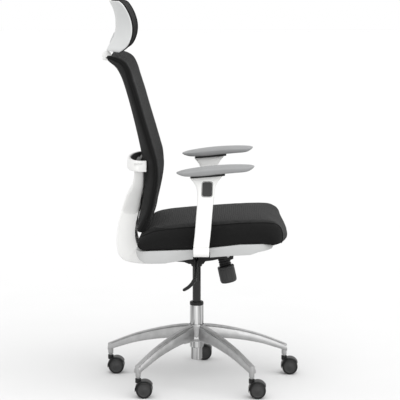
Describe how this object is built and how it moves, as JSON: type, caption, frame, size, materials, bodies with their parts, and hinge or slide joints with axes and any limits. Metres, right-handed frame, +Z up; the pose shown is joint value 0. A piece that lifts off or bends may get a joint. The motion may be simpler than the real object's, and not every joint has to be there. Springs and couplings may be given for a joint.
{
  "type": "swivel office chair",
  "caption": "Office chair with a mesh back, headrest and adjustable arms on a gas lift and a wheeled star base.",
  "frame": {"origin": "on the floor, on the axis of the gas lift column", "axes": "+Z up, the chair faces -Y, +X is the sitter's left"},
  "size_m": [0.667, 0.6508, 1.263],
  "materials": {
    "polished_aluminium": "polished die-cast",
    "chrome_tube": "mirror",
    "bright_steel": "ground",
    "black_steel": "black powder coat",
    "black_casting": "black satin",
    "black_plastic": "fine grain",
    "button_plastic": "satin",
    "caster_tyre": "satin tread",
    "white_plastic": "satin white",
    "headrest_white": "satin off-white",
    "pan_grey": "satin pale grey",
    "mesh_fabric": "black 3-D mesh fabric",
    "pad_grey": "soft grey polyurethane"
  },
  "bodies": {
    "root": {"base_star": "polished_aluminium", "column_tube": "chrome_tube", "column_collar": "black_plastic", "thrust_bearing": "bright_steel"},
    "caster_1": {"caster_stem_1": "bright_steel", "caster_hood_1": "black_plastic"},
    "wheel_1_left": {"caster_wheel_1_left": "caster_tyre"},
    "wheel_1_right": {"caster_wheel_1_right": "caster_tyre"},
    "caster_2": {"caster_stem_2": "bright_steel", "caster_hood_2": "black_plastic"},
    "wheel_2_left": {"caster_wheel_2_left": "caster_tyre"},
    "wheel_2_right": {"caster_wheel_2_right": "caster_tyre"},
    "caster_3": {"caster_stem_3": "bright_steel", "caster_hood_3": "black_plastic"},
    "wheel_3_left": {"caster_wheel_3_left": "caster_tyre"},
    "wheel_3_right": {"caster_wheel_3_right": "caster_tyre"},
    "caster_4": {"caster_stem_4": "bright_steel", "caster_hood_4": "black_plastic"},
    "wheel_4_left": {"caster_wheel_4_left": "caster_tyre"},
    "wheel_4_right": {"caster_wheel_4_right": "caster_tyre"},
    "caster_5": {"caster_stem_5": "bright_steel", "caster_hood_5": "black_plastic"},
    "wheel_5_left": {"caster_wheel_5_left": "caster_tyre"},
    "wheel_5_right": {"caster_wheel_5_right": "caster_tyre"},
    "lift_rod": {"piston_rod": "bright_steel", "rod_clip": "bright_steel"},
    "mechanism": {"gas_cylinder": "black_steel", "tilt_housing": "black_casting", "seat_pivot_pin": "bright_steel", "tension_neck": "black_plastic"},
    "knob": {"tension_knob": "black_plastic"},
    "lever_ferrule": {"lever_ferrule": "black_plastic"},
    "lever": {"lift_lever": "black_plastic"},
    "seat": {"seat_pan": "pan_grey", "seat_cushion": "mesh_fabric", "seat_carriage": "black_steel", "arm_bracket_left": "white_plastic", "arm_bracket_right": "white_plastic", "arm_post_left": "bright_steel", "arm_post_right": "bright_steel"},
    "back": {"recline_bracket": "black_steel", "back_support": "white_plastic", "back_mesh": "mesh_fabric", "back_spine": "white_plastic", "headrest_post": "white_plastic"},
    "lumbar": {"lumbar_pad": "black_plastic"},
    "headrest_carrier": {"headrest_carrier": "black_plastic"},
    "headrest": {"headrest_shell": "headrest_white", "headrest_cushion": "mesh_fabric"},
    "arm_left": {"arm_sleeve_left": "white_plastic", "arm_plate_left": "black_plastic"},
    "button_left": {"arm_button_left": "button_plastic"},
    "pad_left": {"arm_pad_left": "pad_grey"},
    "arm_right": {"arm_sleeve_right": "white_plastic", "arm_plate_right": "black_plastic"},
    "button_right": {"arm_button_right": "button_plastic"},
    "pad_right": {"arm_pad_right": "pad_grey"}
  },
  "joints": [
    {"name": "caster_swivel_1", "type": "hinge", "parent": "root", "child": "caster_1", "pos_m": [0.0958, -0.29483, 0.07], "axis": [0, 0, 1], "continuous": true},
    {"name": "wheel_spin_1_left", "type": "hinge", "parent": "caster_1", "child": "wheel_1_left", "pos_m": [0.0958, -0.31433, 0.0265], "axis": [1, 0, 0], "continuous": true},
    {"name": "wheel_spin_1_right", "type": "hinge", "parent": "caster_1", "child": "wheel_1_right", "pos_m": [0.0958, -0.31433, 0.0265], "axis": [1, 0, 0], "continuous": true},
    {"name": "caster_swivel_2", "type": "hinge", "parent": "root", "child": "caster_2", "pos_m": [0.31, 0, 0.07], "axis": [0, 0, 1], "continuous": true},
    {"name": "wheel_spin_2_left", "type": "hinge", "parent": "caster_2", "child": "wheel_2_left", "pos_m": [0.31, -0.0195, 0.0265], "axis": [1, 0, 0], "continuous": true},
    {"name": "wheel_spin_2_right", "type": "hinge", "parent": "caster_2", "child": "wheel_2_right", "pos_m": [0.31, -0.0195, 0.0265], "axis": [1, 0, 0], "continuous": true},
    {"name": "caster_swivel_3", "type": "hinge", "parent": "root", "child": "caster_3", "pos_m": [0.0958, 0.29483, 0.07], "axis": [0, 0, 1], "continuous": true},
    {"name": "wheel_spin_3_left", "type": "hinge", "parent": "caster_3", "child": "wheel_3_left", "pos_m": [0.0958, 0.27533, 0.0265], "axis": [1, 0, 0], "continuous": true},
    {"name": "wheel_spin_3_right", "type": "hinge", "parent": "caster_3", "child": "wheel_3_right", "pos_m": [0.0958, 0.27533, 0.0265], "axis": [1, 0, 0], "continuous": true},
    {"name": "caster_swivel_4", "type": "hinge", "parent": "root", "child": "caster_4", "pos_m": [-0.25079, 0.18221, 0.07], "axis": [0, 0, 1], "continuous": true},
    {"name": "wheel_spin_4_left", "type": "hinge", "parent": "caster_4", "child": "wheel_4_left", "pos_m": [-0.25079, 0.16271, 0.0265], "axis": [1, 0, 0], "continuous": true},
    {"name": "wheel_spin_4_right", "type": "hinge", "parent": "caster_4", "child": "wheel_4_right", "pos_m": [-0.25079, 0.16271, 0.0265], "axis": [1, 0, 0], "continuous": true},
    {"name": "caster_swivel_5", "type": "hinge", "parent": "root", "child": "caster_5", "pos_m": [-0.25079, -0.18221, 0.07], "axis": [0, 0, 1], "continuous": true},
    {"name": "wheel_spin_5_left", "type": "hinge", "parent": "caster_5", "child": "wheel_5_left", "pos_m": [-0.25079, -0.20171, 0.0265], "axis": [1, 0, 0], "continuous": true},
    {"name": "wheel_spin_5_right", "type": "hinge", "parent": "caster_5", "child": "wheel_5_right", "pos_m": [-0.25079, -0.20171, 0.0265], "axis": [1, 0, 0], "continuous": true},
    {"name": "seat_swivel", "type": "hinge", "parent": "root", "child": "lift_rod", "pos_m": [0, 0, 0.25], "axis": [0, 0, 1], "continuous": true},
    {"name": "seat_lift", "type": "slide", "parent": "lift_rod", "child": "mechanism", "axis": [0, 0, 1], "range_m": [-0.1, 0]},
    {"name": "tension_knob_turn", "type": "hinge", "parent": "mechanism", "child": "knob", "pos_m": [0, -0.0903, 0.412], "axis": [0, -0.2147, -0.9767], "range_deg": [-720, 720]},
    {"name": "tilt_lock_pull", "type": "slide", "parent": "mechanism", "child": "lever_ferrule", "axis": [-1, 0, 0], "range_m": [0, 0.012]},
    {"name": "lift_lever_raise", "type": "hinge", "parent": "lever_ferrule", "child": "lever", "pos_m": [-0.072, -0.002, 0.421], "axis": [0, 1, 0], "range_deg": [0, 8], "stiffness_Nm_per_rad": 0.6, "springref_deg": -11.46},
    {"name": "back_recline", "type": "hinge", "parent": "mechanism", "child": "back", "pos_m": [0, -0.002, 0.421], "axis": [-1, 0, 0], "range_deg": [0, 18], "stiffness_Nm_per_rad": 60, "springref_deg": -34.38},
    {"name": "seat_tilt", "type": "hinge", "parent": "mechanism", "child": "seat", "pos_m": [0, -0.105, 0.431], "axis": [-1, 0, 0], "range_deg": [0, 6]},
    {"name": "lumbar_slide", "type": "slide", "parent": "back", "child": "lumbar", "axis": [0, 0, 1], "range_m": [-0.02, 0.015]},
    {"name": "headrest_raise", "type": "slide", "parent": "back", "child": "headrest_carrier", "axis": [0, -0.4138, 0.9104], "range_m": [0, 0.03]},
    {"name": "headrest_tilt", "type": "hinge", "parent": "headrest_carrier", "child": "headrest", "pos_m": [0, 0.256, 1.15], "axis": [1, 0, 0], "range_deg": [-8, 8]},
    {"name": "arm_height_left", "type": "slide", "parent": "seat", "child": "arm_left", "axis": [0, -0.0802, 0.9968], "range_m": [0, 0.07]},
    {"name": "arm_button_press_left", "type": "slide", "parent": "arm_left", "child": "button_left", "axis": [-1, 0, 0], "range_m": [0, 0.0025], "stiffness_N_per_m": 400, "springref_m": -0.004},
    {"name": "arm_pad_slide_left", "type": "slide", "parent": "arm_left", "child": "pad_left", "axis": [0, -1, 0], "range_m": [-0.025, 0.025]},
    {"name": "arm_height_right", "type": "slide", "parent": "seat", "child": "arm_right", "axis": [0, -0.0802, 0.9968], "range_m": [0, 0.07]},
    {"name": "arm_button_press_right", "type": "slide", "parent": "arm_right", "child": "button_right", "axis": [1, 0, 0], "range_m": [0, 0.0025], "stiffness_N_per_m": 400, "springref_m": -0.004},
    {"name": "arm_pad_slide_right", "type": "slide", "parent": "arm_right", "child": "pad_right", "axis": [0, -1, 0], "range_m": [-0.025, 0.025]}
  ],
  "couplings": [
    {"joint": "seat_tilt", "follows": "back_recline", "ratio": 0.33333}
  ]
}
